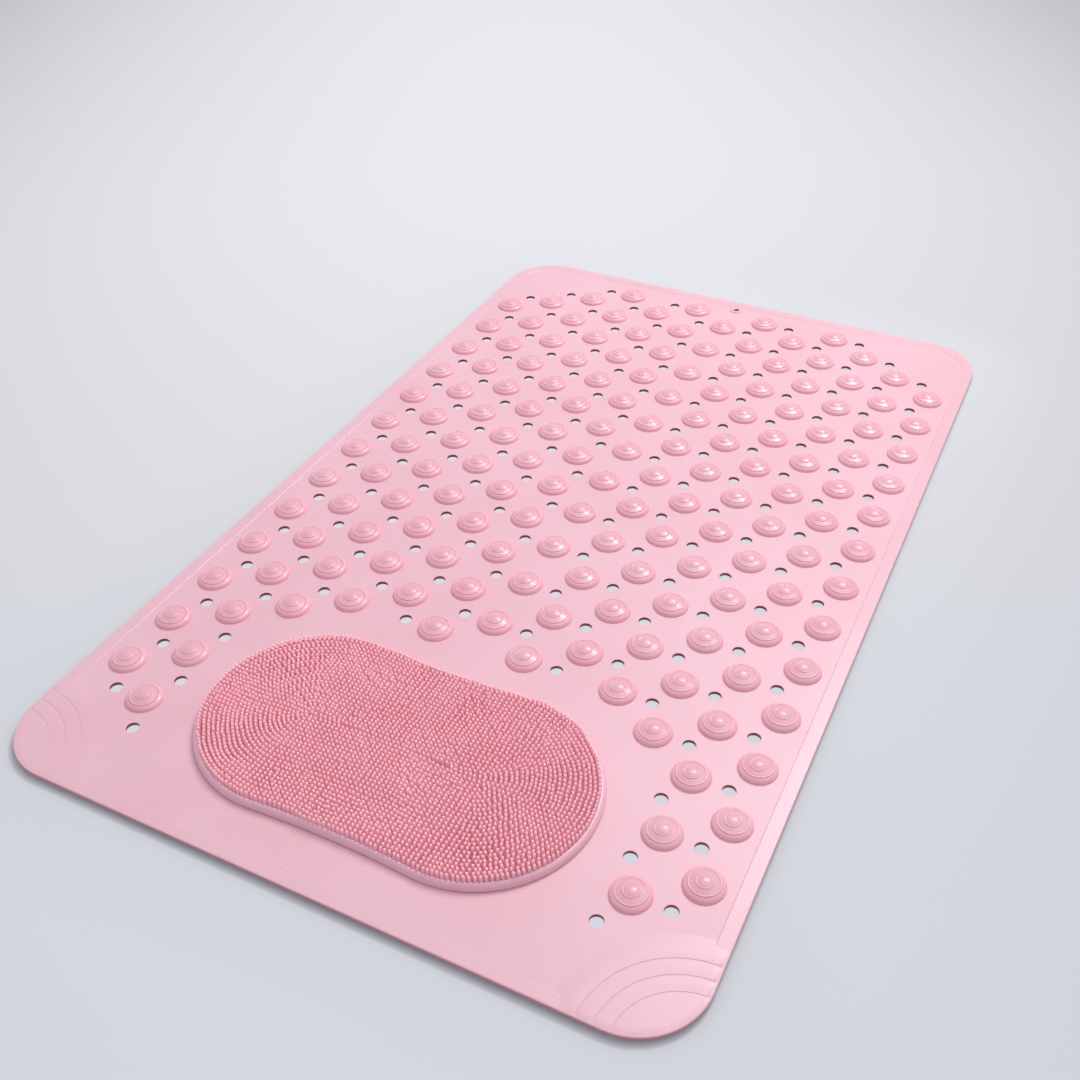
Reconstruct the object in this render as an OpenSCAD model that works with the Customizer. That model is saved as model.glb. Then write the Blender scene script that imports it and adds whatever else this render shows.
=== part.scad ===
// Shower foot scrubber mat: one moulding of soft plastic. A perforated sheet stands on
// suction cups, each cup swells into a stepped massage dome on top, and a raised pad of
// rubber bristles near the front edge scrubs the soles of the feet.
// The origin lies on the floor under the middle of the mat, +X runs along the front edge,
// +Y points to the edge with the hanging hole, and +Z points up.

/* [Mat] */
// Width along the front edge
mat_w = 460; // [420:1:600]
// Length from the front edge to the hanging edge
mat_l = 755; // [600:1:900]
// Thickness of the sheet
sheet_t = 2.5; // [1.8:0.1:4]
// Radius of the four corners
corner_r = 44; // [30:1:60]
// Radius of the rounding along the outer edge
edge_r = 0.8; // [0.3:0.1:1]

/* [Border] */
// Width of the smooth border along the sides and the back
border_w = 9; // [5:0.5:14]
// Width of the smooth border along the front
front_border_w = 8; // [5:0.5:14]
// Height of the smooth border over the grained field
border_h = 0.3; // [0.1:0.05:0.6]
// Width of the plain tab in the middle of the front border
tab_w = 46; // [20:1:80]
// How far the tab reaches into the field
tab_d = 3; // [1:0.2:6]

/* [Corner ribs] */
// Radius of the innermost groove, measured from the mat's sharp corner
groove_r = 39.5; // [32:0.5:48]
// Distance from one groove to the next
groove_pitch = 9.5; // [7:0.5:12]
// Number of grooves
groove_n = 3; // [2:1:3]
// Depth of a groove
groove_d = 0.4; // [0.2:0.05:0.8]
// Height of the soft crest between two grooves over their shoulders
crest_h = 0.15; // [0.1:0.05:0.6]

/* [Suction cups] */
// Column pitch of the staggered cups
cup_dx = 33.8; // [30:0.1:40]
// Row pitch of the staggered cups
cup_dy = 23; // [20:0.1:30]
// Number of cup columns on each side of the middle one
cup_cols = 6; // [4:1:8]
// Number of cup rows on each side of the middle one
cup_rows = 15; // [10:1:18]
// Drop from the underside of the sheet to the lip that grips the floor
cup_drop = 2; // [1.5:0.1:5]
// Outer radius of the lip
lip_r = 13; // [11.8:0.1:15]
// Width of the flat foot of the lip
lip_w = 1; // [0.6:0.1:1.5]
// Outer radius of the neck where the cup leaves the sheet
neck_r = 10.8; // [9:0.1:12]
// Radius of the hollow at the neck
hollow_r = 8.6; // [7:0.1:9.6]

/* [Domes] */
// Radius of the dome where it leaves the sheet
dome_r = 12.5; // [11:0.1:14]
// Height of the dome over the sheet
dome_h = 6; // [4:0.1:8]
// Radius of the outer ring line
ring_r = 9.2; // [7.5:0.1:10.4]
// Radius of the ring line round the cap
cap_r = 4.6; // [3:0.1:6]
// Height and half width of a raised ring line
ring_h = 0.3; // [0.1:0.05:0.5]
// Thickness of the dome's top over the hollow of its cup
dome_wall = 2.2; // [1.4:0.1:3.4]
// Least distance from the middle of a dome to the outline of the pad
dome_pad_gap = 28; // [20:1:36]
// Least distance from the middle of a dome to the mat's sharp corner
dome_corner_gap = 85; // [75:1:95]

/* [Drain holes] */
// Radius of a drain hole
drain_r = 4.25; // [2:0.05:5]
// How far a drain hole lies inwards from its column of cups
drain_in = 10; // [8.5:0.1:12]
// Least distance from a drain hole to the outline of the pad
drain_pad_gap = 20; // [16:1:24]
// Least distance from a drain hole to the mat's sharp corner
drain_corner_gap = 80; // [75:1:95]

/* [Hanging hole] */
// Radius of the hanging hole
hang_r = 2.5; // [1.5:0.1:3.5]
// Distance from the hanging hole to the back edge
hang_in = 16.5; // [15:0.5:20]
// Width of the raised rim round the hanging hole
hang_rim_w = 3; // [2:0.1:4]
// Height of the raised rim over the sheet
hang_rim_h = 0.9; // [0.5:0.1:2]

/* [Scrubbing pad] */
// Length of the pad along the front edge
pad_l = 268; // [220:1:280]
// Width of the pad at its round ends
pad_w = 149; // [120:1:160]
// How much the middle of each side is drawn in
pad_waist = 2.2; // [0.6:0.1:2.6]
// Distance from the front edge of the mat to the middle of the pad
pad_in = 109.5; // [90:0.5:130]
// Width of the rounded rim
rim_w = 3; // [2.6:0.1:6]
// Height of the rim over the sheet
rim_h = 5; // [3:0.1:8]
// Height of the floor that the bristles grow from, over the sheet
floor_h = 2; // [1:0.1:2.8]
// Thickness of the floor and the sheet over the hollow of a cup
floor_wall = 3; // [2:0.1:4]

/* [Bristles] */
// Height of the bristle tips over the sheet
tip_h = 9.2; // [6:0.1:12]
// Radius of a bristle at its root
root_r = 1.15; // [0.7:0.05:1.2]
// Radius of a bristle at its tip
tip_r = 0.85; // [0.3:0.05:1]
// Distance from one row of bristles to the next
row_pitch = 2.9; // [2.4:0.1:4]
// Distance from one bristle to the next along a row
bristle_pitch = 3.1; // [2.4:0.1:4]
// Clear gap between the rim and the roots of the outer row
rim_gap = 0.4; // [0.2:0.1:1]
// Every how many rows and bristles one is moulded; 1 fills the pad
thin_out = 2; // [1:1:4]

/* [Hidden] */

// How far joined forms run into each other, and how much slimmer the one inside is where
// both have the same cross-section
bond = 0.5;
slim = 0.05;

// Levels over the floor
sheet_z = cup_drop;
top_z = sheet_z + sheet_t;
border_z = top_z + border_h;

// The outline of the pad: two end circles and two wide hollow arcs, tangent to both
end_r = pad_w / 2;
end_x = pad_l / 2 - end_r;
pad_y = pad_in - mat_l / 2;
waist_half = end_r - pad_waist;
waist_r = (end_x * end_x + waist_half * waist_half - end_r * end_r) / (2 * pad_waist);
waist_y = waist_half + waist_r;
waist_a = atan2(end_x, waist_y);

// Distance from a point to the outline of the pad, and to the nearest sharp corner
function pad_gap(x, y) = norm([max(abs(x) - end_x, 0), y - pad_y]) - end_r;
function corner_gap(x, y) = norm([mat_w / 2 - abs(x), mat_l / 2 - abs(y)]);
function before_pad(x, y) = y < pad_y && abs(x) < pad_l / 2;
function on_field(x, y, r) =
    abs(x) + r < mat_w / 2 - border_w && abs(y) + r < mat_l / 2 - border_w;

// Places of the staggered cups; those on the open field carry domes
cup_places = [for (k = [-cup_cols : cup_cols], n = [-cup_rows : cup_rows])
    if ((k + n) % 2 == 0 && on_field(k * cup_dx, n * cup_dy, dome_r)) [k * cup_dx, n * cup_dy]];
dome_places = [for (p = cup_places)
    if (pad_gap(p.x, p.y) > dome_pad_gap && corner_gap(p.x, p.y) > dome_corner_gap
        && !before_pad(p.x, p.y)) p];
pad_cup_places = [for (p = cup_places) if (pad_gap(p.x, p.y) < -lip_r) p];

// Places of the drain holes, beside the gaps in each column of cups
drain_places = [for (side = [-1, 1], k = [1 : cup_cols], n = [-cup_rows : cup_rows])
    let (x = side * (k * cup_dx - drain_in), y = n * cup_dy)
    if ((k + n) % 2 != 0 && on_field(x, y, drain_r) && pad_gap(x, y) > drain_pad_gap
        && corner_gap(x, y) > drain_corner_gap && !before_pad(x, y)) [x, y]];

// The seat that a cup fills in the sheet
seat_r = (neck_r + hollow_r) / 2;

// Rows of bristles: the outer one keeps its gap to the rim, the others share the rest
outer_half = waist_half - rim_w - rim_gap - root_r;
row_n = round(outer_half / row_pitch + 0.5);
row_step = outer_half / (row_n - 0.5);
column_n = thin_out * round(2 * end_x / bristle_pitch / thin_out);
column_step = 2 * end_x / column_n;

// Half of a row, counted from the middle of the pad: the line along its hollow side and
// the turn round its end
function line_places(half) =
    [for (i = [0 : thin_out : column_n - 1])
        let (x = (i + 0.5) * column_step - end_x)
        [x, waist_y - sqrt(pow(waist_y - half, 2) - x * x)]];
function turn_places(half) =
    let (r = half + pad_waist,
         n = thin_out * max(1, round(PI * r / bristle_pitch / thin_out)))
    [for (i = [0 : thin_out : n - 1])
        let (a = 180 * (i + 0.5) / n - 90) [end_x + r * cos(a), r * sin(a)]];

// A rectangle with round corners, drawn round the origin
module round_rect(w, l, r) {
    square([w, l - 2 * r], center = true);
    square([w - 2 * r, l], center = true);
    for (x = [-1, 1], y = [-1, 1]) translate([x * (w / 2 - r), y * (l / 2 - r)])
        circle(r, $fn = 96);
}

// The mat's outline, drawn in by some distance
module mat_outline(inset) {
    round_rect(mat_w - 2 * inset, mat_l - 2 * inset, corner_r - inset);
}

// Cross-section of the rounded outer edge, from the outside inwards
edge_section = concat(
    [for (a = [180 : 30 : 270]) [edge_r * (1 + cos(a)), sheet_z + edge_r * (1 + sin(a))]],
    [[2 * edge_r, sheet_z], [2 * edge_r, border_z]],
    [for (a = [90 : 30 : 180]) [edge_r * (1 + cos(a)), border_z - edge_r * (1 - sin(a))]]);

module edge_strip(l) {
    rotate([90, 0, 90]) linear_extrude(height = l, center = true) polygon(edge_section);
}

// The rounded edge, carried round the mat
module outer_edge() {
    for (turn = [0, 180]) rotate(turn) {
        translate([0, -mat_l / 2]) edge_strip(mat_w - 2 * corner_r);
        rotate(90) translate([0, -mat_w / 2]) edge_strip(mat_l - 2 * corner_r);
    }
    for (x = [0, 1], y = [0, 1]) mirror([x, 0]) mirror([0, y])
        translate([mat_w / 2 - corner_r, mat_l / 2 - corner_r])
            rotate_extrude(angle = 90, $fn = 96)
                polygon([for (p = edge_section) [corner_r - p.x, p.y]]);
}

// The sheet, open at the drain holes and where a cup or the hanging rim passes through it
module sheet() {
    translate([0, 0, sheet_z]) linear_extrude(height = sheet_t) difference() {
        mat_outline(edge_r);
        for (p = drain_places) translate(p) circle(drain_r, $fn = 32);
        for (p = concat(dome_places, pad_cup_places)) translate(p) circle(seat_r, $fn = 48);
        translate([0, mat_l / 2 - hang_in]) circle(hang_r + hang_rim_w / 2, $fn = 48);
    }
}

// The smooth border, a little higher than the field that it frames
module border() {
    field_l = mat_l - front_border_w - border_w;
    translate([0, 0, top_z - bond]) linear_extrude(height = bond + border_h) difference() {
        mat_outline(edge_r);
        translate([0, (front_border_w - border_w) / 2]) difference() {
            round_rect(mat_w - 2 * border_w, field_l, corner_r - border_w);
            translate([0, -field_l / 2]) square([tab_w, 2 * tab_d], center = true);
        }
    }
}

// Arched ribs on a front corner: soft crests with a narrow groove between each two
module corner_ribs() {
    shoulder_z = border_z + groove_d;
    crest_z = shoulder_z + crest_h;
    mid = groove_pitch / 2;
    outer_r = groove_r + groove_n * groove_pitch;
    section = concat(
        [[0, top_z - bond], [0, crest_z], [groove_r - mid, crest_z]],
        [for (i = [0 : groove_n - 1]) let (r = groove_r + i * groove_pitch)
            each [[r - groove_d, shoulder_z], [r, border_z + bond / 10],
                  [r + groove_d, shoulder_z], [r + mid, crest_z]]],
        [[outer_r, top_z - bond / 10], [outer_r, top_z - bond]]);
    intersection() {
        linear_extrude(height = crest_z + bond) mat_outline(2 * edge_r);
        for (side = [0, 1]) mirror([side, 0]) translate([mat_w / 2, -mat_l / 2])
            rotate(90) rotate_extrude(angle = 90, $fn = 144) polygon(section);
    }
}

// Cross-section of a suction cup up to the underside of the sheet, from the flat roof of
// its hollow down to the lip and up the outside
function cup_section(hollow_h) = concat(
    [[0, sheet_z + hollow_h]],
    [for (a = [60 : -30 : 0]) [hollow_r * cos(a), sheet_z + hollow_h * sin(a) / sin(60)]],
    [[lip_r - lip_w, 0], [lip_r, 0], [lip_r, lip_w / 2], [neck_r, sheet_z]]);

// A suction cup that swells into a massage dome with two raised ring lines
module dome_cup() {
    skirt_z = top_z + 0.68 * dome_h;
    shelf_z = top_z + 0.84 * dome_h;
    rotate_extrude($fn = 60) polygon(concat(
        cup_section(top_z + dome_h - dome_wall - sheet_z),
        [[neck_r, top_z - bond], [dome_r, top_z - bond]],
        [for (a = [0 : 30 : 60])
            [ring_r + (dome_r - ring_r) * cos(a), top_z + (skirt_z - top_z) * sin(a)]],
        [[ring_r + ring_h, skirt_z], [ring_r, skirt_z + ring_h], [ring_r - ring_h, skirt_z],
         [cap_r + ring_h, shelf_z], [cap_r, shelf_z + ring_h],
         [cap_r / 2, top_z + dome_h], [0, top_z + dome_h]]));
}

// A suction cup under the pad
module pad_cup() {
    root_z = top_z + floor_h - bond;
    rotate_extrude($fn = 60) polygon(concat(
        cup_section(max(bond, top_z + floor_h - floor_wall - sheet_z)),
        [[neck_r, root_z], [0, root_z]]));
}

// The raised rim round the hanging hole, as deep as the sheet
module hang_rim() {
    rim_r = hang_r + hang_rim_w;
    rim_z = top_z + hang_rim_h;
    rotate_extrude($fn = 48) polygon([[hang_r, sheet_z], [rim_r, sheet_z],
        [rim_r, rim_z - hang_rim_h / 2], [rim_r - hang_rim_h / 2, rim_z], [hang_r, rim_z]]);
}

// Cross-section of the pad's rim, drawn in all round by some distance: a rounded shoulder
// outside and an upright wall inside
function rim_section(inset) = concat(
    [[inset, top_z - bond + inset]],
    [for (a = [0 : 30 : 90]) [rim_w - inset - (rim_w - 2 * inset) * cos(a),
                              top_z + (rim_h - inset) * sin(a)]],
    [[rim_w - inset, top_z - bond + inset]]);

// The rim of the pad: two round ends, and hollow sides that run on into them
module pad_rim() {
    side_a = waist_a + asin(bond / waist_r);
    for (side = [0, 180]) rotate(side) {
        translate([end_x, 0]) rotate(-90 - waist_a)
            rotate_extrude(angle = 180 + 2 * waist_a, $fn = 160)
                polygon([for (p = rim_section(0)) [end_r - p.x, p.y]]);
        translate([0, waist_y]) rotate(-90 - side_a)
            rotate_extrude(angle = 2 * side_a, $fn = 960)
                polygon([for (p = rim_section(slim)) [waist_r + p.x, p.y]]);
    }
}

// The floor of the pad, which ends inside the rim all round
module pad_floor() {
    floor_r = end_r - rim_w / 2;
    translate([0, 0, top_z - bond]) linear_extrude(height = bond + floor_h) difference() {
        union() {
            square([2 * end_x, 2 * floor_r], center = true);
            for (side = [-1, 1]) translate([side * end_x, 0]) circle(floor_r, $fn = 160);
        }
        for (side = [-1, 1]) translate([0, side * waist_y])
            circle(waist_r + 0.6 * rim_w, $fn = 960);
    }
}

module bristles() {
    root_z = top_z + floor_h - bond;
    for (row = [row_n - 1 : -thin_out : 0]) let (half = (row + 0.5) * row_step)
        for (p = concat(line_places(half), turn_places(half)), side = [-1, 1])
            translate([side * p.x, side * p.y, root_z])
                cylinder(h = top_z + tip_h - root_z, r1 = root_r, r2 = tip_r, $fn = 16);
}

module scrubber_mat() {
    color([0.93, 0.66, 0.73]) {
        sheet();
        outer_edge();
        border();
        corner_ribs();
        for (p = dome_places) translate(p) dome_cup();
        translate([0, mat_l / 2 - hang_in]) hang_rim();
    }
    color([0.91, 0.55, 0.64]) {
        for (p = pad_cup_places) translate(p) pad_cup();
        translate([0, pad_y]) {
            pad_rim();
            pad_floor();
            bristles();
        }
    }
}

scrubber_mat();
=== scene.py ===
# %% [markdown]
# # A shower mat that scrubs the feet
#
# The real object is one moulding of soft pink plastic. A thin sheet with drain holes stands
# on suction cups, and each cup swells into a stepped massage dome on top. Near the front
# edge a raised pad carries thousands of short bristles, set in rings like the lanes of a
# running track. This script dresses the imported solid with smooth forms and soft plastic.

# %% Load the frame
import math

import bmesh
import bpy
from mathutils import Matrix, Vector


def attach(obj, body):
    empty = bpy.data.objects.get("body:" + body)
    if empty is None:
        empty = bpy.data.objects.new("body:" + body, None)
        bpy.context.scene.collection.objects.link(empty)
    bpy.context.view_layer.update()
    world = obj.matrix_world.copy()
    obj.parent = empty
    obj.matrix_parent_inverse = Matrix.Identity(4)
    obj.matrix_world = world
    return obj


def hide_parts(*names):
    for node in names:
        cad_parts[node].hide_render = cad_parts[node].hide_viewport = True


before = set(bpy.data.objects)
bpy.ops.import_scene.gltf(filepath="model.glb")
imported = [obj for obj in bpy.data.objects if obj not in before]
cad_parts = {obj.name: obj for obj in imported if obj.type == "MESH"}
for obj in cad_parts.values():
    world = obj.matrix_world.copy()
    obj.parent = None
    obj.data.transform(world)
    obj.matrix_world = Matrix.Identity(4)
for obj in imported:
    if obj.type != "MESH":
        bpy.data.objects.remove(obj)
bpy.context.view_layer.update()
MAT = "scrubber_mat"


# %% [markdown]
# ## Sizes
#
# All sizes are in millimetres, as a designer writes them, and one factor turns them into
# Blender's metres. The heights are measured from the floor: the cups lift the sheet 2 mm.
# A piece that stands on another is sunk into it a little, so that no gap shows.

# %% Sizes of the mat
MM = 0.001
WIDTH, LENGTH, CORNER = 460, 755, 44
SHEET_Z, TOP_Z, BORDER_Z = 2.0, 4.5, 4.8
SIDE_BORDER, FRONT_BORDER = 9, 8
COLUMN, ROW = 33.8, 23
DOME_R, SEAT_R = 12.5, 9.7
DRAIN_R, DRAIN_IN = 4.25, 10
HANG_R, HANG_Y = 2.5, LENGTH / 2 - 16.5
PAD_END_R, PAD_WAIST, PAD_Y = 74.5, 2.2, 109.5 - LENGTH / 2
PAD_END_X = 134 - PAD_END_R
RIM_W, RIM_Z, FLOOR_Z, TIP_Z = 3, 9.5, 6.5, 13.7
SUNK = 0.3

# %% [markdown]
# ## Helpers that make meshes
#
# Nearly everything here is a row of closed loops, joined one to the next: a dome is rings
# that shrink towards its pole, and the border is rings that run round the whole mat. So one
# helper, loft, joins loops of equal length, and the pieces only say where the loops lie.


# %% Loft, lathe and finish
def loft(loops, closed=False):
    """Vertices and faces through loops of points; closed joins the last loop to the first."""
    n = len(loops[0])
    verts = [p for loop in loops for p in loop]
    pairs = [(i, i + 1) for i in range(len(loops) - 1)]
    if closed:
        pairs.append((len(loops) - 1, 0))
    faces = [(a * n + i, a * n + (i + 1) % n, b * n + (i + 1) % n, b * n + i)
             for a, b in pairs for i in range(n)]
    if not closed:
        faces.append(tuple(range(n))[::-1])
        last = (len(loops) - 1) * n
        faces.append(tuple(last + i for i in range(n)))
    return verts, faces


def lathe(profile, sides):
    """Loops of a turned form, from (radius, height) pairs."""
    turns = [2 * math.pi * i / sides for i in range(sides)]
    return [[(r * math.cos(t), r * math.sin(t), z) for t in turns] for r, z in profile]


def mesh_object(name, verts, faces, sharp=30):
    """A mesh object from millimetres, with outward faces and smooth shading below an angle."""
    mesh = bpy.data.meshes.new(name)
    mesh.from_pydata([Vector(v) * MM for v in verts], [], faces)
    return smooth_object(name, mesh, sharp)


def smooth_object(name, mesh, sharp):
    """An object with outward faces, smooth below an angle."""
    work = bmesh.new()
    work.from_mesh(mesh)
    bmesh.ops.recalc_face_normals(work, faces=work.faces)
    work.to_mesh(mesh)
    work.free()
    mesh.polygons.foreach_set("use_smooth", [True] * len(mesh.polygons))
    mesh.set_sharp_from_angle(angle=math.radians(sharp))
    piece = bpy.data.objects.new(name, mesh)
    bpy.context.scene.collection.objects.link(piece)
    return piece


def baked(piece):
    """The plain mesh that a modified or curved object evaluates to."""
    graph = bpy.context.evaluated_depsgraph_get()
    mesh = bpy.data.meshes.new_from_object(piece.evaluated_get(graph))
    mesh.name = piece.name
    return mesh


# %% [markdown]
# ## Plates with holes
#
# The sheet has some 300 round openings. A flat curve does this best: its outline and holes
# are separate loops, the fill leaves the holes open, and its bevel softens every edge.


# %% Flat plates from loops
def circle(x, y, r, sides=24):
    """A round loop of points, for a hole."""
    turns = [2 * math.pi * i / sides for i in range(sides)]
    return [(x + r * math.cos(t), y + r * math.sin(t)) for t in turns]


def plate(name, outline, holes, low, high, soften):
    """A plate between two heights, with holes and softened edges."""
    curve = bpy.data.curves.new(name, "CURVE")
    curve.dimensions = "2D"
    curve.fill_mode = "BOTH"
    for points in [outline] + [hole[::-1] for hole in holes]:
        spline = curve.splines.new("POLY")
        spline.points.add(len(points) - 1)
        for point, (x, y) in zip(spline.points, points):
            point.co = (x * MM, y * MM, 0, 1)
        spline.use_cyclic_u = True
    curve.extrude = ((high - low) / 2 - soften) * MM
    curve.bevel_depth = soften * MM
    curve.bevel_resolution = 1
    curve.offset = -soften * MM
    maker = bpy.data.objects.new(name, curve)
    bpy.context.scene.collection.objects.link(maker)
    mesh = baked(maker)
    bpy.data.objects.remove(maker)
    mesh.transform(Matrix.Translation((0, 0, (low + high) / 2 * MM)))
    return mesh


# %% [markdown]
# ## Outlines
#
# The mat is a rectangle with round corners. The pad is a stadium whose long sides are drawn
# in a little, so each side is a wide arc, tangent to the circles at both ends.


# %% The mat's outline
def round_rect(w, l, r, y=0, front=(), steps=14):
    """A loop round a rectangle with round corners, and extra points along its front side."""
    loop = []
    for sx, sy, start in ((1, -1, -90), (1, 1, 0), (-1, 1, 90), (-1, -1, 180)):
        for i in range(steps + 1):
            a = math.radians(start + 90 * i / steps)
            loop.append((sx * (w / 2 - r) + r * math.cos(a),
                         y + sy * (l / 2 - r) + r * math.sin(a)))
    return loop + list(front)


def inset_outline(d):
    """The mat's outline, drawn in by d."""
    return round_rect(WIDTH - 2 * d, LENGTH - 2 * d, CORNER - d)


# %% The pad's outline
WAIST_HALF = PAD_END_R - PAD_WAIST
WAIST_R = (PAD_END_X ** 2 + WAIST_HALF ** 2 - PAD_END_R ** 2) / (2 * PAD_WAIST)
WAIST_Y = WAIST_HALF + WAIST_R
WAIST_A = math.atan2(PAD_END_X, WAIST_Y)


def pad_outline(d, end_steps=72, side_steps=16):
    """A loop round the pad, drawn in by d."""
    half = []
    r, wr = PAD_END_R - d, WAIST_R + d
    for i in range(end_steps):
        a = -math.pi / 2 - WAIST_A + (math.pi + 2 * WAIST_A) * i / end_steps
        half.append((PAD_END_X + r * math.cos(a), r * math.sin(a)))
    for i in range(side_steps):
        a = WAIST_A - 2 * WAIST_A * i / side_steps
        half.append((wr * math.sin(a), WAIST_Y - wr * math.cos(a)))
    return [(s * x, PAD_Y + s * y) for s in (1, -1) for x, y in half]


# %% [markdown]
# ## The lattice of domes and drain holes
#
# The domes stand in columns, and every second column is shifted by one row. They keep clear
# of the pad and of the corners. The drain holes stand beside the columns, half way between
# two domes.


# %% Places of the domes and the drain holes
SIDE_COLUMNS, SIDE_ROWS = 6, 15
DOME_CLEAR, DRAIN_CLEAR = (28, 85), (20, 80)
CUP_IN = 13


def pad_gap(x, y):
    """How far a place lies outside the pad."""
    return math.hypot(max(abs(x) - PAD_END_X, 0), y - PAD_Y) - PAD_END_R


def corner_gap(x, y):
    """How far a place lies from the nearest sharp corner of the mat."""
    return math.hypot(WIDTH / 2 - abs(x), LENGTH / 2 - abs(y))


def on_field(x, y, pad_clear, corner_clear):
    """Whether a place keeps clear of the front and back edges, the pad and the corners."""
    before_pad = y < PAD_Y and abs(x) < PAD_END_X + PAD_END_R
    return (abs(y) < LENGTH / 2 - SIDE_BORDER - DOME_R and not before_pad
            and pad_gap(x, y) > pad_clear and corner_gap(x, y) > corner_clear)


lines = range(-SIDE_ROWS, SIDE_ROWS + 1)
lattice = [(k * COLUMN, n * ROW)
           for k in range(-SIDE_COLUMNS, SIDE_COLUMNS + 1) for n in lines if (k + n) % 2 == 0]
dome_places = [p for p in lattice if on_field(*p, *DOME_CLEAR)]
pad_cup_places = [p for p in lattice if pad_gap(*p) < -CUP_IN]
drain_places = [(side * (k * COLUMN - DRAIN_IN), n * ROW)
                for side in (-1, 1) for k in range(1, SIDE_COLUMNS + 1)
                for n in lines if (k + n) % 2]
drain_places = [p for p in drain_places if on_field(*p, *DRAIN_CLEAR)]
print(len(dome_places), "domes,", len(drain_places), "drain holes and",
      len(pad_cup_places), "cups under the pad")

# %% [markdown]
# ## The sheet
#
# The sheet is a plate between the borders: its outline hides inside the border that comes
# next, and each cup passes through an opening of its own.

# %% The perforated sheet
SHEET_IN, HOLE_SOFT = 5, 0.3
sheet_openings = ([circle(x, y, DRAIN_R) for x, y in drain_places]
                  + [circle(x, y, SEAT_R) for x, y in dome_places + pad_cup_places]
                  + [circle(0, HANG_Y, HANG_R + 1.5)])
sheet_mesh = plate("grained_sheet", inset_outline(SHEET_IN), sheet_openings,
                   SHEET_Z, TOP_Z, HOLE_SOFT)
sheet = smooth_object("grained_sheet", sheet_mesh, 40)

# %% [markdown]
# ## The smooth border
#
# A smooth band frames the grained field and stands a hair higher. Its outer edge is rounded
# and its inner edge is a little step. In the middle of the front it widens into a plain tab.
# Two rings close to the edges hold its top flat, where smooth shading would round it.

# %% The border as rings round the mat
TAB_HALF, TAB_IN, STEP = 23, 3, 0.4
tab_x = (-TAB_HALF - STEP, -TAB_HALF, TAB_HALF, TAB_HALF + STEP)


def outer_ring(d, z):
    """A ring along the outer edge, drawn in by d, with points where the tab begins and ends."""
    loop = round_rect(WIDTH - 2 * d, LENGTH - 2 * d, CORNER - d,
                      front=[(x, d - LENGTH / 2) for x in tab_x])
    return [(x, y, z) for x, y in loop]


def inner_ring(d, z):
    """A ring along the border's inner edge, drawn in by d, that steps in at the tab."""
    y = (FRONT_BORDER - SIDE_BORDER) / 2
    front = [(x, FRONT_BORDER + d + (TAB_IN if abs(x) == TAB_HALF else 0) - LENGTH / 2)
             for x in tab_x]
    loop = round_rect(WIDTH - 2 * (SIDE_BORDER + d), LENGTH - SIDE_BORDER - FRONT_BORDER - 2 * d,
                      CORNER - SIDE_BORDER - d, y, front)
    return [(x, y, z) for x, y in loop]


EDGE, HOLD = 0.8, 0.5
quarter = (0, math.pi / 6, math.pi / 3, math.pi / 2)
rings = [outer_ring(EDGE * (1 - math.sin(a)), SHEET_Z + EDGE * (1 - math.cos(a)))
         for a in quarter]
rings += [outer_ring(EDGE * (1 - math.cos(a)), BORDER_Z - EDGE * (1 - math.sin(a)))
          for a in quarter]
rings += [outer_ring(EDGE + HOLD, BORDER_Z), inner_ring(-HOLD, BORDER_Z),
          inner_ring(-0.1, BORDER_Z), inner_ring(0, BORDER_Z - 0.04),
          inner_ring(STEP, TOP_Z - 0.05), inner_ring(STEP, SHEET_Z - 0.02)]
border = mesh_object("smooth_border", *loft(rings, closed=True), sharp=50)

# %% [markdown]
# ## Ribs on the front corners
#
# Three narrow grooves arch across each front corner, with a soft crest between them. Each
# station is an arc round the mat's sharp corner, cut off where it meets the outline. The
# last crest fades into the field.

# %% Arched corner ribs
GROOVE_R, GROOVE_PITCH = 39.5, 9.5
CREST_Z, SHOULDER_Z, GROOVE_Z = BORDER_Z + 0.4, BORDER_Z + 0.3, BORDER_Z + 0.03
EDGE_IN, EDGE_SOFT = 0.9, 3.5


def span(r, d):
    """The angle at which an arc of radius r starts, a distance d inside the mat's outline."""
    if r < CORNER:
        reach = (r * r + 2 * CORNER ** 2 - (CORNER - d) ** 2) / (2 * r * CORNER * math.sqrt(2))
        return math.pi / 4 - math.acos(min(reach, 1))
    return math.asin(d / r)


def rib_station(r, z, steps=28):
    """A closed loop: over the top of the rib at this radius and back below the surface."""
    deepest = r - CORNER * (math.sqrt(2) - 1) if r < CORNER else LENGTH
    top = []
    for share in (0, 0.2, 0.5, 1):
        d = min(EDGE_IN + EDGE_SOFT * share, deepest)
        rise = math.sin(math.pi / 2 * (d - EDGE_IN) / EDGE_SOFT)
        top.append((span(r, d), BORDER_Z - 0.05 + (z - BORDER_Z + 0.05) * rise))
    first = top[-1][0]
    last = math.pi / 2 - first
    top += [(first + (last - first) * i / steps, top[3][1]) for i in range(1, steps)]
    top += [(math.pi / 2 - a, h) for a, h in top[3::-1]]
    loop = top + [(a, TOP_Z - SUNK) for a, h in top[::-1]]
    return [(r * math.cos(a), r * math.sin(a), h) for a, h in loop]


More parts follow.
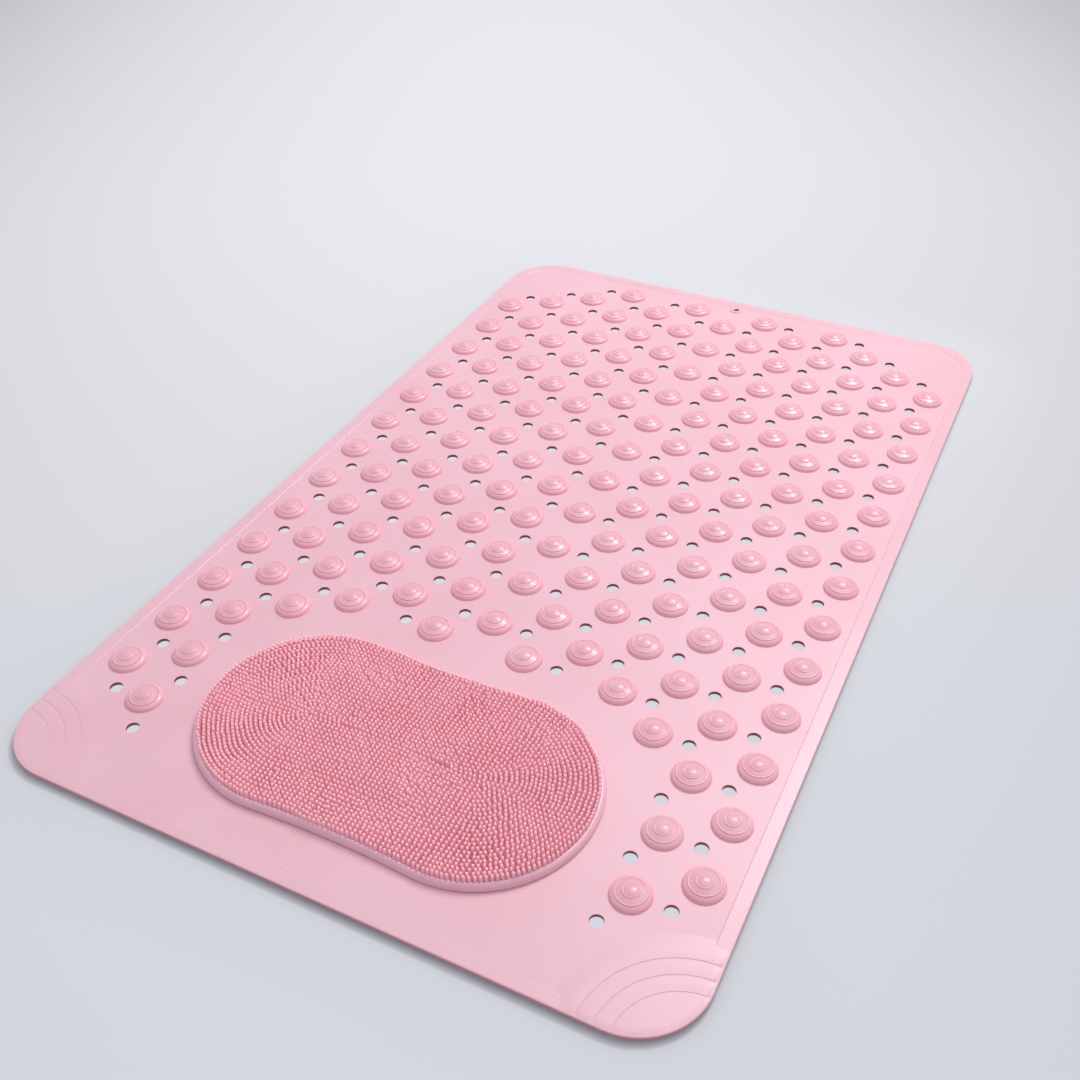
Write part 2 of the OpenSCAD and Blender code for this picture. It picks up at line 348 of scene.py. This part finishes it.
GROOVES = 3
CREST_SIDE_Z, FADE_Z = CREST_Z - 0.03, TOP_Z - 0.1
profile = [(r, CREST_Z) for r in (19.2, 19.8, 20.6, 21.8, 23.5, 26, 30, 35)]
for i in range(GROOVES):
    r = GROOVE_R + i * GROOVE_PITCH
    profile += [(r - 0.45, SHOULDER_Z), (r - 0.15, GROOVE_Z), (r + 0.15, GROOVE_Z),
                (r + 0.45, SHOULDER_Z), (r + 3, CREST_SIDE_Z)]
    if i < GROOVES - 1:
        profile += [(r + 4.7, CREST_Z), (r + 6.5, CREST_SIDE_Z)]
FADE_IN, FADE_OUT = profile[-1][0], GROOVE_R + GROOVES * GROOVE_PITCH + 9
profile += [(FADE_IN + (FADE_OUT - FADE_IN) * s,
             CREST_Z - (CREST_Z - FADE_Z) * math.sin(math.pi / 2 * s) ** 2)
            for s in (0.12, 0.25, 0.38, 0.5, 0.62, 0.75, 0.87, 1)]
verts, faces = [], []
for side in (-1, 1):
    part, part_faces = loft([rib_station(r, z) for r, z in profile])
    start = len(verts)
    verts += [(side * (WIDTH / 2 - x), y - LENGTH / 2, z) for x, y, z in part]
    faces += [tuple(start + i for i in face) for face in part_faces]
ribs = mesh_object("corner_ribs", verts, faces, sharp=25)

# %% [markdown]
# ## The rim and floor of the pad
#
# The pad stands in a rounded rim. The rim's loops follow the pad's outline: in at a narrow
# crease by the foot, up a quarter of an ellipse, over the lip and down to the floor inside.

# %% The pad's rim and floor
RIM_FOOT, SUNK_Z = TOP_Z + 0.7, TOP_Z - SUNK
rim_profile = [(0.5, SUNK_Z), (0.5, TOP_Z + 0.15), (0.15, TOP_Z + 0.4)]
rim_profile += [(RIM_W * (1 - math.cos(a)), RIM_FOOT + (RIM_Z - RIM_FOOT) * math.sin(a))
                for a in [math.pi / 2 * i / 8 for i in range(9)]]
rim_profile += [(RIM_W + 0.25, RIM_Z - 0.12), (RIM_W + 0.3, FLOOR_Z - SUNK),
                (RIM_W + 0.3, SUNK_Z)]
rim_loops = [[(x, y, z) for x, y in pad_outline(d)] for d, z in rim_profile]
rim = mesh_object("pad_rim", *loft(rim_loops, closed=True), sharp=50)
floor_loops = [[(x, y, z) for x, y in pad_outline(RIM_W - 0.5)] for z in (SUNK_Z, FLOOR_Z)]
pad_floor = mesh_object("pad_floor", *loft(floor_loops), sharp=30)

# %% [markdown]
# ## One tree that repeats a piece
#
# Domes, cups and bristles are copies of one small form each. A Geometry Nodes tree puts a copy
# on every point of a mesh. It leans and turns each by a seeded random amount, and adds a slow
# drift that neighbours share, as in a brush that has been stroked. Then it makes the copies
# real, because an exporter can't carry instances.


# %% Build the repeating tree
class Tree:
    """A node tree under construction, for geometry."""

    def __init__(self, name, inputs):
        self.group = bpy.data.node_groups.new(name, "GeometryNodeTree")
        for label, kind in [("Geometry", "Geometry")] + inputs:
            self.add_socket(label, "INPUT", kind)
        self.add_socket("Geometry", "OUTPUT", "Geometry")
        self.given = self.node("NodeGroupInput")
        self.result = self.node("NodeGroupOutput")

    def add_socket(self, label, side, kind):
        """Declare an input or the output of the group."""
        self.group.interface.new_socket(label, in_out=side, socket_type="NodeSocket" + kind)

    def node(self, kind, settings=None, inputs=None):
        """Add a node: its settings first, then the values or links of its sockets."""
        made = self.group.nodes.new(kind)
        for key, value in (settings or {}).items():
            setattr(made, key, value)
        for key, value in (inputs or {}).items():
            if isinstance(value, bpy.types.NodeSocket):
                self.group.links.new(value, made.inputs[key])
            else:
                made.inputs[key].default_value = value
        return made


def repeating_tree():
    """The tree that puts a leaning copy of a piece on each point and makes it real."""
    tree = Tree("repeat_on_points", [("Piece", "Object"), ("Lean", "Float"), ("Turn", "Float"),
                                     ("Shrink", "Float"), ("Seed", "Int"), ("Sway", "Float"),
                                     ("Sway Size", "Float"), ("Finish", "Material")])
    given = tree.given.outputs
    piece = tree.node("GeometryNodeObjectInfo", inputs={"Object": given["Piece"]})
    back = tree.node("ShaderNodeMath", {"operation": "MULTIPLY"}, {0: given["Lean"], 1: -1.0})
    low = tree.node("ShaderNodeCombineXYZ", inputs={"X": back.outputs[0], "Y": back.outputs[0]})
    high = tree.node("ShaderNodeCombineXYZ", inputs={"X": given["Lean"], "Y": given["Lean"],
                                                     "Z": given["Turn"]})
    lean = tree.node("FunctionNodeRandomValue", {"data_type": "FLOAT_VECTOR"},
                     {0: low.outputs[0], 1: high.outputs[0], "Seed": given["Seed"]})
    density = tree.node("ShaderNodeMath", {"operation": "DIVIDE"},
                        {0: 1.0, 1: given["Sway Size"]})
    where = tree.node("GeometryNodeInputPosition")
    drift = tree.node("ShaderNodeTexNoise", inputs={"Vector": where.outputs[0],
                                                    "Scale": density.outputs[0], "Detail": 1.0})
    drift = tree.node("ShaderNodeVectorMath", {"operation": "SUBTRACT"},
                      {0: drift.outputs["Color"], 1: (0.5, 0.5, 0.5)})
    sway = tree.node("ShaderNodeVectorMath", {"operation": "SCALE"},
                     {0: drift.outputs[0], "Scale": given["Sway"]})
    lean = tree.node("ShaderNodeVectorMath", {"operation": "ADD"},
                     {0: lean.outputs[0], 1: sway.outputs[0]})
    least = tree.node("ShaderNodeMath", {"operation": "SUBTRACT"}, {0: 1.0, 1: given["Shrink"]})
    size = tree.node("FunctionNodeRandomValue", {"data_type": "FLOAT"},
                     {2: least.outputs[0], 3: 1.0, "Seed": given["Seed"]})
    tall = tree.node("ShaderNodeCombineXYZ", inputs={"X": 1.0, "Y": 1.0, "Z": size.outputs[1]})
    placed = tree.node("GeometryNodeInstanceOnPoints",
                       inputs={"Points": given["Geometry"], "Instance": piece.outputs["Geometry"],
                               "Rotation": lean.outputs[0], "Scale": tall.outputs[0]})
    real = tree.node("GeometryNodeRealizeInstances", inputs={"Geometry": placed.outputs[0]})
    dressed = tree.node("GeometryNodeSetMaterial",
                        inputs={"Geometry": real.outputs[0], "Material": given["Finish"]})
    tree.group.links.new(dressed.outputs[0], tree.result.inputs[0])
    return tree.group


repeat_on_points = repeating_tree()


def repeated(name, master, places, finish, lean=0.0, turn=0.0, shrink=0.0, seed=1,
             sway=0.0, sway_size=1.0):
    """One plain mesh with a copy of master on each place."""
    points = bpy.data.meshes.new(name)
    points.from_pydata([Vector(p) * MM for p in places], [], [])
    piece = bpy.data.objects.new(name, points)
    bpy.context.scene.collection.objects.link(piece)
    modifier = piece.modifiers.new("repeat", "NODES")
    modifier.node_group = repeat_on_points
    values = {"Piece": master, "Lean": lean, "Turn": turn, "Shrink": shrink, "Seed": seed,
              "Sway": sway, "Sway Size": sway_size, "Finish": finish}
    for item in repeat_on_points.interface.items_tree:
        if item.in_out == "INPUT" and item.name in values:
            modifier[item.identifier] = values[item.name]
    mesh = baked(piece)
    piece.modifiers.clear()
    piece.data = mesh
    print(name, "has", len(places), "copies and", len(mesh.polygons), "faces")
    return piece


# %% [markdown]
# ## Soft plastic
#
# All of the mat is one pink plastic, but its surface changes. The field between the domes is
# finely grained, and the border, the domes and the pad's rim are smoother. Light passes a
# little way through soft plastic, and here that is painted: the hollow domes are painted paler
# at their skirts, and the bristles have painted shade at their roots, painted light at their
# tips and a weak painted glow. The paler pinks of the field, the border and the rim are partly
# painted sheen, and the walls of the sheet and its holes have painted shade.


# %% Shader maths as Python expressions
class Socket:
    """A shader output that can be used in sums and products."""

    def __init__(self, shader, out):
        self.shader, self.out = shader, out

    def math(self, operation, *others, swap=False):
        """Any operation of the Math node; swap puts this value last."""
        values = [self, *others]
        if swap:
            values.reverse()
        return self.shader.node("ShaderNodeMath", {"operation": operation},
                                dict(enumerate(values)))

    def __add__(self, other):
        return self.math("ADD", other)

    def __sub__(self, other):
        return self.math("SUBTRACT", other)

    def __rsub__(self, other):
        return self.math("SUBTRACT", other, swap=True)

    def __mul__(self, other):
        return self.math("MULTIPLY", other)

    __radd__ = __add__
    __rmul__ = __mul__

    def size(self):
        """The value without its sign."""
        return self.math("ABSOLUTE")

    def ramp(self, low, high):
        """0 at low, 1 at high, and a soft change between them."""
        return self.shader.node("ShaderNodeMapRange", {"interpolation_type": "SMOOTHSTEP"},
                                {"Value": self, "From Min": low, "From Max": high})


class Shader:
    """A material's tree, with one method that adds any node."""

    def __init__(self, name):
        self.material = bpy.data.materials.new(name)
        self.material.use_nodes = True
        self.tree = self.material.node_tree
        self.tree.nodes.clear()

    def node(self, kind, settings=None, inputs=None, out=0):
        """Add a node with its settings and inputs, and return one of its outputs."""
        made = self.tree.nodes.new(kind)
        for key, value in (settings or {}).items():
            setattr(made, key, value)
        for key, value in (inputs or {}).items():
            if isinstance(value, Socket):
                self.tree.links.new(value.out, made.inputs[key])
            else:
                made.inputs[key].default_value = value
        return Socket(self, made.outputs[out]) if len(made.outputs) else None

    def mix(self, share, first, second):
        """A colour between two, by a share."""
        return self.node("ShaderNodeMix", {"data_type": "RGBA"},
                         {0: share, 6: first, 7: second}, out=2)

    def places(self):
        """The object's own coordinates, apart and together."""
        where = self.node("ShaderNodeTexCoord", out="Object")
        parts = self.node("ShaderNodeSeparateXYZ", inputs={0: where})
        axes = parts.out.node.outputs
        return where, Socket(self, axes[0]), Socket(self, axes[1]), Socket(self, axes[2])

    def noise(self, where, grain, detail=2.0, rough=0.5):
        """Noise whose lumps are about as wide as grain, in metres."""
        return self.node("ShaderNodeTexNoise", inputs={"Vector": where, "Scale": 1 / grain,
                                                       "Detail": detail, "Roughness": rough})

    def bump(self, height, rise):
        """A bumped normal; the rise of the bumps is in millimetres."""
        return self.node("ShaderNodeBump", inputs={"Strength": 1.0, "Distance": rise * MM,
                                                   "Height": height})

    def surface(self, **inputs):
        """The finished material: a Principled shader with these inputs."""
        shader = self.node("ShaderNodeBsdfPrincipled",
                           inputs={key.replace("_", " "): value for key, value in inputs.items()})
        self.node("ShaderNodeOutputMaterial", inputs={"Surface": shader})
        return self.material

    def outline_gap(self, x, y, half_w, half_l, r):
        """The distance to a rectangle with round corners, negative inside."""
        over_x, over_y = x.size() - (half_w - r), y.size() - (half_l - r)
        out_x, out_y = over_x.math("MAXIMUM", 0.0), over_y.math("MAXIMUM", 0.0)
        outside = (out_x * out_x + out_y * out_y).math("SQRT")
        return outside + over_x.math("MAXIMUM", over_y).math("MINIMUM", 0.0) - r

    def backdrop(self, colour, tint, glow, share):
        """A matt floor that partly shows a set brightness, and keeps its shadows."""
        matt = self.node("ShaderNodeBsdfDiffuse", inputs={"Color": colour})
        seen = self.node("ShaderNodeEmission", inputs={"Color": tint, "Strength": glow})
        camera = self.node("ShaderNodeLightPath")
        ways = camera.out.node.outputs
        glossy = Socket(self, ways["Is Glossy Ray"])
        passing = Socket(self, ways["Is Transmission Ray"])
        rays = camera.math("MAXIMUM", glossy).math("MAXIMUM", passing)
        shader = self.node("ShaderNodeMixShader", inputs={0: rays * share, 1: matt, 2: seen})
        self.node("ShaderNodeOutputMaterial", inputs={"Surface": shader})
        return self.material


# %% The pink plastic
CLOUD, CLOUD_EDGES = 0.09, (0.35, 0.65)
# PINK, for the field and the smooth parts, is paler than DOME_PINK: partly the plastic's colour,
# partly painted sheen.
PINK = (0.84, 0.49, 0.55, 1)
DOME_PINK = (0.86, 0.43, 0.50, 1)
# Painted light: the paler pink of the dome skirts.
SKIRT_GLOW_PINK = (0.96, 0.47, 0.55, 1)
# RIM_PINK, for the pad's rim and floor, is paler than PINK: partly the plastic's colour, partly
# painted light on the rim.
RIM_PINK = (0.92, 0.53, 0.62, 1)
PALE_PINK = (0.90, 0.56, 0.63, 1)
# Painted shade: the border's outer edge and the other walls between the sheet's faces take a
# deeper pink.
WALL_SHADE_PINK = (0.62, 0.25, 0.34, 1)
# Painted shade: the walls of the drain holes are a dark red, as if in shadow.
HOLE_SHADE_RED = (0.36, 0.07, 0.12, 1)


def soft_plastic(name, colour, rough, grain_height, grain_size=0.0011, wall_shade=None):
    """Pink plastic with slow pale clouds, a fine grain and painted shade on the walls in the
    sheet.
    """
    shader = Shader(name)
    where, x, y, z = shader.places()
    cloud = shader.noise(where, CLOUD, 3.0)
    grain = shader.noise(where, grain_size, 2.0, 0.6)
    shade = shader.mix(cloud.ramp(*CLOUD_EDGES) * 0.35, colour, PALE_PINK)
    # Painted shade: between the sheet's faces the walls take a darker colour, by height.
    if wall_shade:
        above = z.ramp((SHEET_Z + 0.02) * MM, (SHEET_Z + 0.1) * MM)
        beyond = z.ramp((TOP_Z - 0.25) * MM, (TOP_Z - 0.05) * MM)
        shade = shader.mix(above - beyond, shade, wall_shade)
    return shader.surface(Base_Color=shade, Roughness=rough + (grain - 0.5) * 0.12,
                          Normal=shader.bump(grain, grain_height), IOR=1.48)


def dome_plastic(name):
    """Glossy plastic with painted light on the steep skirt, paler there as if light passed
    through the hollow dome.
    """
    shader = Shader(name)
    where, x, y, z = shader.places()
    cloud = shader.noise(where, CLOUD, 3.0)
    grain = shader.noise(where, 0.004, 2.0)
    # Painted light: below the shelf the skirt is paler, as if light passed through the hollow
    # dome.
    shelf = z.ramp((TOP_Z + 2.4) * MM, (TOP_Z + 3.6) * MM)
    shade = shader.mix(shelf, SKIRT_GLOW_PINK, DOME_PINK)
    shade = shader.mix(cloud.ramp(*CLOUD_EDGES) * 0.25, shade, PALE_PINK)
    return shader.surface(Base_Color=shade, Roughness=0.26 + (grain - 0.5) * 0.08,
                          Normal=shader.bump(grain, 0.0015), IOR=1.45)


def bristle_plastic(name):
    """Painted shade at the roots, painted light at the tips, and a weak painted glow in place of
    scattered light.
    """
    shader = Shader(name)
    where, x, y, z = shader.places()
    # Painted shade and light by height: deep pink at the roots, pale at the tips.
    tip = z.ramp((TIP_Z - 2.4) * MM, (TIP_Z - 0.5) * MM)
    cloud = shader.noise(where, 0.02, 2.0)
    shade = shader.mix(tip, (0.84, 0.45, 0.51, 1), (1.0, 0.58, 0.64, 1))
    shade = shader.mix(cloud.ramp(0.35, 0.7) * 0.2, shade, PALE_PINK)
    # Painted glow: the bristles emit a weak pink light, though they are no lamp.
    painted_glow = shader.mix(tip, (0.47, 0.23, 0.28, 1), (0.95, 0.48, 0.54, 1))
    return shader.surface(Base_Color=shade, Roughness=0.50 + (cloud - 0.5) * 0.1, IOR=1.4,
                          Emission_Color=painted_glow, Emission_Strength=0.2)


field_finish = soft_plastic("grained_field", PINK, 0.40, 0.05, wall_shade=HOLE_SHADE_RED)
smooth_finish = soft_plastic("smooth_plastic", PINK, 0.33, 0.008, wall_shade=WALL_SHADE_PINK)
dome_finish = dome_plastic("dome_plastic")
pad_finish = soft_plastic("pad_plastic", RIM_PINK, 0.26, 0.004, 0.004)
bristle_finish = bristle_plastic("bristle_plastic")

# %% [markdown]
# ## Domes and suction cups
#
# A dome is a turned form. Its round skirt ends in a thin raised line, a gentle slope leads to
# a small step, and the cap on it is round again. The cup below is turned too, and its thin
# lip grips the floor. Its hollow reaches up into the dome.

# %% The massage domes and the cups
dome_profile = [(4.3, 3.4), (7.45, 1.14), (8.0, -SUNK), (DOME_R + 0.1, -SUNK), (DOME_R, 0),
                (12.4, 0.7), (12.1, 1.35), (11.6, 1.92), (11.0, 2.4), (10.3, 2.8), (9.72, 3.03),
                (9.62, 3.34), (9.44, 3.55), (9.1, 3.63), (8.76, 3.55), (8.56, 3.38),
                (7.0, 3.85), (5.4, 4.32), (5.24, 4.62), (4.98, 4.76), (4.68, 4.78), (4.42, 4.7),
                (4.25, 4.78), (3.4, 5.07), (2.5, 5.32), (1.6, 5.48), (0.8, 5.57), (0.3, 5.6)]
dome_loops = lathe([(r, TOP_Z + h) for r, h in dome_profile], 28)
dome_master = mesh_object("dome_master", *loft(dome_loops), sharp=35)
domes = []
for side, is_right in (("left", False), ("right", True)):
    places = [(x, y, 0) for x, y in dome_places if (x > 0) == is_right]
    domes.append(repeated("massage_domes_" + side, dome_master, places, dome_finish))
cup_profile = [(8.6, SHEET_Z), (12.0, 0), (13.0, 0), (13.0, 0.5), (10.8, SHEET_Z),
               (10.8, TOP_Z - 0.2), (8.0, TOP_Z - 0.2)]
cup_master = mesh_object("cup_master", *loft(lathe(cup_profile, 24), closed=True), sharp=28)
cups = repeated("suction_cups", cup_master, [(x, y, 0) for x, y in dome_places + pad_cup_places],
                smooth_finish)

# %% [markdown]
# ## The rim of the hanging hole
#
# A small raised ring keeps the hanging hole from tearing.

# %% The hanging hole
hang_profile = [(0, -2.5), (3, -2.5), (3, 0.4), (2.7, 0.7), (2.2, 0.9),
                (0.5, 0.9), (0.1, 0.75), (0, 0.4)]
hang_rings = [[(x, y + HANG_Y, z) for x, y, z in loop]
              for loop in lathe([(HANG_R + r, TOP_Z + h) for r, h in hang_profile], 32)]
hang_rim = mesh_object("hanging_rim", *loft(hang_rings, closed=True), sharp=50)

# %% [markdown]
# ## The bristles
#
# The rows follow the pad's outline, each a fixed step inside the last, and the outer one
# stands just inside the rim. Along the middle the bristles line up in columns; round the
# ends each row has its own count, so that they stay evenly spaced.

# %% Places of the bristles
ROOT_R, PITCH, ROW_PITCH = 1.3, 3.1, 2.9
OUTER_HALF = WAIST_HALF - RIM_W - ROOT_R
ROWS = round(OUTER_HALF / ROW_PITCH + 0.5)
ROW_STEP = OUTER_HALF / (ROWS - 0.5)
COLUMNS = 2 * round(PAD_END_X / PITCH)
MIDDLE_COUNT = 7


def bristle_row(row):
    """Half of a row, along one hollow side and round one end."""
    half = (row + 0.5) * ROW_STEP
    r = half + PAD_WAIST
    places = []
    for i in range(COLUMNS):
        x = (i + 0.5) * 2 * PAD_END_X / COLUMNS - PAD_END_X
        places.append((x, WAIST_Y - math.sqrt((WAIST_Y - half) ** 2 - x * x)))
    count = 2 * max(1, round(math.pi * r / PITCH / 2))
    for i in range(count):
        a = math.pi * ((i + 0.5) / count - 0.5)
        places.append((PAD_END_X + r * math.cos(a), r * math.sin(a)))
    return places


def middle_line():
    """The few between the two middle rows, where these part on their way to a turn."""
    return [(PAD_END_X - i * PITCH, 0) for i in range(MIDDLE_COUNT)]


half_places = middle_line() + [p for row in range(ROWS) for p in bristle_row(row)]
bristle_places = [(s * x, PAD_Y + s * y, FLOOR_Z - SUNK) for s in (-1, 1) for x, y in half_places]
bristle_profile = [(ROOT_R, 0), (1.2, 3.0), (0.98, 5.6), (0.8, 6.8), (0.6, 7.25), (0.26, 7.49)]
bristle_master = mesh_object("bristle_master", *loft(lathe(bristle_profile, 9)), sharp=180)
half_count = len(half_places)
bristles = [repeated("bristles_" + name, bristle_master, places, bristle_finish,
                     lean=0.04, turn=1.0, shrink=0.03, seed=seed, sway=0.7, sway_size=0.03)
            for name, places, seed in (("one", bristle_places[:half_count], 3),
                                       ("two", bristle_places[half_count:], 8))]
for master in (dome_master, cup_master, bristle_master):
    bpy.data.objects.remove(master)

# %% [markdown]
# ## Dress and join
#
# The plain pieces get their finish. All pieces ride on the one body of the mat, and together
# they stand for its solid.

# %% Finishes and the frame
for piece, finish in ((sheet, field_finish), (border, smooth_finish), (ribs, smooth_finish),
                      (rim, pad_finish), (pad_floor, pad_finish), (hang_rim, smooth_finish)):
    piece.data.materials.clear()
    piece.data.materials.append(finish)
for piece in [sheet, border, ribs, rim, pad_floor, hang_rim, cups] + domes + bristles:
    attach(piece, "root")
    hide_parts(MAT)

# %% [markdown]
# ## Studio
#
# The mat lies on a pale floor under a large soft light, far enough off to light it evenly. A
# small light behind it sets the highlights on the caps, and one beside that gives the right
# border its sheen. The floor partly shows a set brightness, which changes along the line of
# sight and across it. The share of it fades close to the mat, so that the narrow shadow
# stays, and is full under the mat, where the drain holes show the floor: there it is painted
# light on a floor that the sheet shades.

# %% The floor
LEAST_GLOW, FLOOR_HALF = 0.52, 4
floor_shader = Shader("studio_floor")
floor_where, floor_x, floor_y, floor_z = floor_shader.places()
along = floor_y * 0.893 - floor_x * 0.451 + 0.738
across = floor_x * 0.896 + floor_y * 0.444 + 0.026
glow = along.ramp(0.1, 1.5) * 0.16 + 0.68 - across * across * 0.38 - across * 0.05
glow = glow.math("MAXIMUM", LEAST_GLOW)
tint = floor_shader.mix(along.ramp(0.2, 1.0), (0.98, 1.01, 1.13, 1), (1.0, 1.0, 1.04, 1))
gap = floor_shader.outline_gap(floor_x, floor_y, WIDTH / 2 * MM, LENGTH / 2 * MM, CORNER * MM)
# Under the mat the set brightness is nearly full: painted light on the floor seen through the
# drain holes.
share = (0.95 - gap.ramp(-0.010, -0.001) * 0.90
         + gap.ramp(0.001, 0.012) * 0.40 + gap.ramp(0.010, 0.080) * 0.35)
floor_finish = floor_shader.backdrop((0.66, 0.675, 0.69, 1), tint, glow, share)
floor_mesh = bpy.data.meshes.new("studio_floor")
floor_mesh.from_pydata([(x * FLOOR_HALF, y * FLOOR_HALF, 0)
                        for x, y in ((-1, -1), (1, -1), (1, 1), (-1, 1))], [], [(0, 1, 2, 3)])
floor_mesh.materials.append(floor_finish)
floor = bpy.data.objects.new("studio_floor", floor_mesh)
bpy.context.scene.collection.objects.link(floor)


# %% The lights and the world
def lamp(name, towards, distance, size, power):
    """A square soft light that shines on the middle of the mat from a given direction."""
    data = bpy.data.lights.new(name, "AREA")
    data.size = size
    data.energy = power
    light = bpy.data.objects.new(name, data)
    light.location = Vector(towards).normalized() * distance
    light.rotation_euler = (-light.location).to_track_quat("-Z", "Y").to_euler()
    bpy.context.scene.collection.objects.link(light)


lamp("overhead_light", (0.14, 0.36, 0.92), 3.6, 2.6, 37)
lamp("back_light", (0.30, 1.1, 1.5), 1.88, 0.34, 9.0)
lamp("sheen_light", (-0.05, 1.0, 1.6), 1.9, 0.6, 6)
world = bpy.data.worlds.new("studio_world")
world.use_nodes = True
sky = world.node_tree.nodes["Background"]
sky.inputs["Color"].default_value = (0.90, 0.92, 1.0, 1)
sky.inputs["Strength"].default_value = 0.55
bpy.context.scene.world = world

# %% [markdown]
# ## Camera
#
# The camera stands in front of the mat, to its right, and looks down at it by 38 degrees.
# Its place and its lens follow from the drain holes and corners of the real mat.

# %% The camera
camera_data = bpy.data.cameras.new("camera")
camera_data.sensor_width = 36
camera_data.lens = 40.43
camera = bpy.data.objects.new("camera", camera_data)
camera.location = (0.30515, -0.67298, 0.56626)
look = Vector((-0.01616, -0.03659, -0.001)) - camera.location
roll = Matrix.Rotation(math.radians(-0.69), 4, "Z")
camera.rotation_euler = (look.to_track_quat("-Z", "Y").to_matrix().to_4x4() @ roll).to_euler()
bpy.context.scene.collection.objects.link(camera)
bpy.context.scene.camera = camera
bpy.context.scene.view_settings.view_transform = "Standard"
